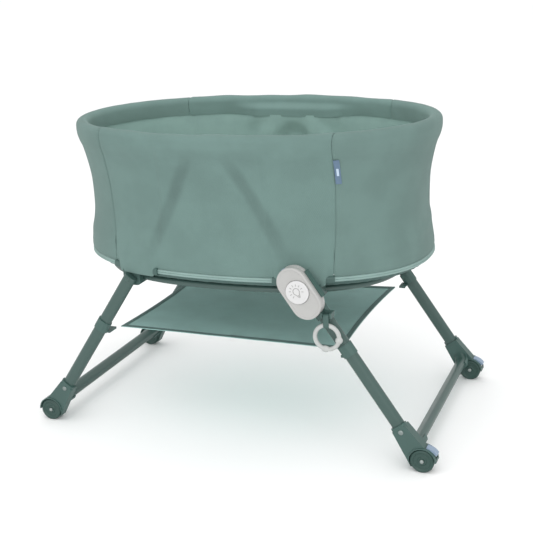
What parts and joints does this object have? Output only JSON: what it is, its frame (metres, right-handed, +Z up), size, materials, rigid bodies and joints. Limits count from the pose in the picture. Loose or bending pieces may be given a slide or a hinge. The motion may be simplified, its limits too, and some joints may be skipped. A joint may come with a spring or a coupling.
{
  "type": "bassinet on stand",
  "caption": "Oval fabric bassinet with a padded rim, held on a folding stand of two U-shaped leg frames with castors, a fabric shelf and a clip-on night light.",
  "frame": {"origin": "on the floor, under the middle of the object", "axes": "+Z up, +X along the basket towards the braked wheels, -Y towards the side with the night light"},
  "size_m": [0.9404, 0.5773, 0.6836],
  "materials": {
    "painted_tube": "satin powder coat",
    "moulded_green": "fine moulded texture",
    "wheel_green": "moulded",
    "mesh_fabric": "woven mesh",
    "shelf_fabric": "woven",
    "board_fabric": "woven",
    "mattress_cover": "quilted",
    "label": "woven tape",
    "steel": "zinc plated",
    "light_grey": "fine moulded texture",
    "white_button": "smooth",
    "pedal_blue": "moulded",
    "circuit": "coated board",
    "black_plastic": "moulded"
  },
  "bodies": {
    "basket_and_stand": {"stand_ring": "painted_tube", "basket_ring": "mesh_fabric", "rim_tube": "painted_tube", "rim_sleeve": "mesh_fabric", "fabric_wall": "mesh_fabric", "base_board": "board_fabric", "mattress": "mattress_cover", "label_tag": "label", "left_shelf": "shelf_fabric", "right_shelf": "shelf_fabric", "front_rim_block": "moulded_green", "back_rim_block": "moulded_green", "front_left_leg_head": "moulded_green", "front_left_leg_pin": "steel", "front_left_strut": "moulded_green", "front_right_leg_head": "moulded_green", "front_right_leg_pin": "steel", "front_right_strut": "moulded_green", "back_left_leg_head": "moulded_green", "back_left_leg_pin": "steel", "back_left_strut": "moulded_green", "back_right_leg_head": "moulded_green", "back_right_leg_pin": "steel", "back_right_strut": "moulded_green"},
    "left_legs": {"left_leg_frame": "painted_tube", "front_left_foot_casting": "moulded_green", "front_left_foot_rivet": "steel", "front_left_shelf_collar": "moulded_green", "back_left_foot_casting": "moulded_green", "back_left_foot_rivet": "steel", "back_left_shelf_collar": "moulded_green"},
    "right_legs": {"right_leg_frame": "painted_tube", "front_right_foot_casting": "moulded_green", "front_right_foot_rivet": "steel", "front_right_shelf_collar": "moulded_green", "back_right_foot_casting": "moulded_green", "back_right_foot_rivet": "steel", "back_right_shelf_collar": "moulded_green", "light_holder": "moulded_green", "light_back_shell": "light_grey", "light_front_shell": "light_grey", "circuit_board": "circuit", "battery_pack": "black_plastic", "battery_door": "light_grey", "speaker": "black_plastic"},
    "front_left_wheel_set": {"front_left_wheel": "wheel_green", "front_left_axle": "steel"},
    "back_left_wheel_set": {"back_left_wheel": "wheel_green", "back_left_axle": "steel"},
    "front_right_wheel_set": {"front_right_wheel": "wheel_green", "front_right_axle": "steel"},
    "front_brake": {"front_right_brake_pedal": "pedal_blue"},
    "back_right_wheel_set": {"back_right_wheel": "wheel_green", "back_right_axle": "steel"},
    "back_brake": {"back_right_brake_pedal": "pedal_blue"},
    "light_button_part": {"light_button": "white_button"},
    "light_switch_part": {"light_switch": "pedal_blue"},
    "toy_strap_part": {"toy_strap": "mesh_fabric"},
    "toy_ring_part": {"toy_ring": "light_grey"}
  },
  "joints": [
    {"name": "left_legs_fold", "type": "hinge", "parent": "basket_and_stand", "child": "left_legs", "pos_m": [-0.207, 0, 0.36], "axis": [0, -1, 0], "range_deg": [0, 58], "deforming": ["left_shelf"]},
    {"name": "right_legs_fold", "type": "hinge", "parent": "basket_and_stand", "child": "right_legs", "pos_m": [0.207, 0, 0.36], "axis": [0, 1, 0], "range_deg": [0, 58], "deforming": ["right_shelf"]},
    {"name": "front_left_wheel_spin", "type": "hinge", "parent": "left_legs", "child": "front_left_wheel_set", "pos_m": [-0.44, -0.245, 0.025], "axis": [0, 1, 0], "continuous": true},
    {"name": "back_left_wheel_spin", "type": "hinge", "parent": "left_legs", "child": "back_left_wheel_set", "pos_m": [-0.44, 0.245, 0.025], "axis": [0, 1, 0], "continuous": true},
    {"name": "front_right_wheel_spin", "type": "hinge", "parent": "right_legs", "child": "front_right_wheel_set", "pos_m": [0.44, -0.245, 0.025], "axis": [0, 1, 0], "continuous": true},
    {"name": "front_brake_press", "type": "hinge", "parent": "right_legs", "child": "front_brake", "pos_m": [0.44999, -0.245, 0.05244], "axis": [0, 1, 0], "range_deg": [0, 10]},
    {"name": "back_right_wheel_spin", "type": "hinge", "parent": "right_legs", "child": "back_right_wheel_set", "pos_m": [0.44, 0.245, 0.025], "axis": [0, 1, 0], "continuous": true},
    {"name": "back_brake_press", "type": "hinge", "parent": "right_legs", "child": "back_brake", "pos_m": [0.44999, 0.245, 0.05244], "axis": [0, 1, 0], "range_deg": [0, 10]},
    {"name": "light_button_press", "type": "slide", "parent": "right_legs", "child": "light_button_part", "axis": [0, 1, 0], "range_m": [0, 0.001], "stiffness_N_per_m": 900},
    {"name": "light_switch_slide", "type": "slide", "parent": "right_legs", "child": "light_switch_part", "axis": [0.8249, 0, 0.5653], "range_m": [0, 0.003]},
    {"name": "toy_strap_swing", "type": "hinge", "parent": "right_legs", "child": "toy_strap_part", "pos_m": [0.2506, -0.272, 0.327], "axis": [-1, 0, 0], "range_deg": [0, 75]},
    {"name": "toy_ring_swing", "type": "hinge", "parent": "toy_strap_part", "child": "toy_ring_part", "pos_m": [0.2506, -0.272, 0.306], "axis": [-1, 0, 0], "range_deg": [0, 75]}
  ]
}
